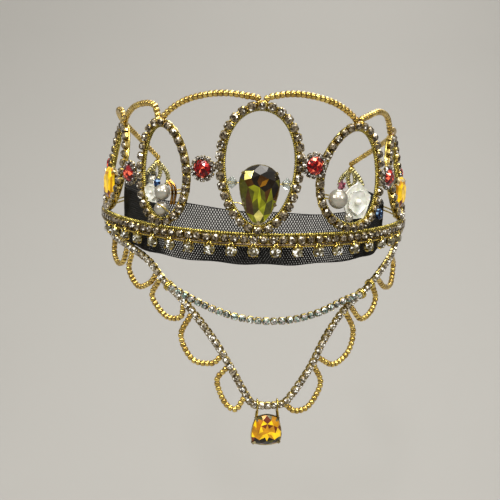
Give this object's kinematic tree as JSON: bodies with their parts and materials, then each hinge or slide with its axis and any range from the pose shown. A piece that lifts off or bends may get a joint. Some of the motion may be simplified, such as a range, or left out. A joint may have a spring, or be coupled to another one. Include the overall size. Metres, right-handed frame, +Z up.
{
  "type": "ballet tiara",
  "caption": "Open-backed tiara of upright stone-set loops with bead arches, net band, and a V of stone chain and bead scallops over the brow with a hanging pendant.",
  "frame": {"origin": "the middle of the seat on the head: the centre of the oval base ring, at the level of the base's foot", "axes": "+Z up as worn, -Y the front over the brow, +X the wearer's left, which is the right side seen from the front"},
  "size_m": [0.1558, 0.1528, 0.1555],
  "materials": {
    "clear_stone": "clear cut glass stones in polished gold-coloured cups",
    "red_stone": "red cut glass in a gold-coloured setting ringed by small clear stones",
    "gold_wire": "polished gold-coloured wire",
    "gold_beads": "gold-lined glass seed beads strung on wire",
    "black_net": "black knotted nylon net",
    "olive_stone": "olive and amber cut glass, foiled back, in a gold-coloured claw setting",
    "amber_stone": "amber cut glass, foiled back, in a gold-coloured setting",
    "pearl": "cream imitation pearl with a soft lustre",
    "shell": "white carved shell",
    "blue_stone": "dark blue cut glass",
    "pink_stone": "burgundy cut glass",
    "bronze_bead": "bronze-coloured curved bead",
    "tinted_stone": "clear stones with an iridescent green and pink coat in gold-coloured cups"
  },
  "bodies": {
    "tiara": {"base_ring": "clear_stone", "crystal_row": "clear_stone", "loop_centre": "clear_stone", "loop_front_left": "clear_stone", "loop_front_right": "clear_stone", "loop_side_left": "clear_stone", "loop_side_right": "clear_stone", "bicone_left": "clear_stone", "bicone_right": "clear_stone", "v_chain": "clear_stone", "rosette_front_left": "red_stone", "rosette_front_right": "red_stone", "rosette_side_left": "red_stone", "rosette_side_right": "red_stone", "rosette_back_left": "red_stone", "rosette_back_right": "red_stone", "leaf_loops_left": "gold_wire", "leaf_loops_right": "gold_wire", "arch_front_left": "gold_beads", "arch_front_right": "gold_beads", "arch_side_left": "gold_beads", "arch_side_right": "gold_beads", "arch_back_left": "gold_beads", "arch_back_right": "gold_beads", "scallop_left_1": "gold_beads", "scallop_left_2": "gold_beads", "scallop_left_3": "gold_beads", "scallop_left_4": "gold_beads", "scallop_left_5": "gold_beads", "scallop_right_2": "gold_beads", "scallop_right_3": "gold_beads", "scallop_right_4": "gold_beads", "scallop_right_5": "gold_beads", "net_band": "black_net", "pear_stone": "olive_stone", "octagon_left": "amber_stone", "octagon_right": "amber_stone", "pearl_left_top": "pearl", "pearl_left_middle": "pearl", "pearl_left_low": "pearl", "pearl_right_big": "pearl", "pearl_right_small": "pearl", "flower_left": "shell", "flower_right": "shell", "blue_stone_left": "blue_stone", "dark_stone_right": "blue_stone", "star_stone_right": "pink_stone", "bronze_bead_left": "bronze_bead", "swag_chain": "tinted_stone"},
    "pendant": {"pendant": "amber_stone"}
  },
  "joints": [
    {"name": "pendant_swing", "type": "hinge", "parent": "tiara", "child": "pendant", "pos_m": [0.00856, -0.0803, -0.073], "axis": [0.9915, 0.1302, 0], "range_deg": [-80, 20]}
  ]
}
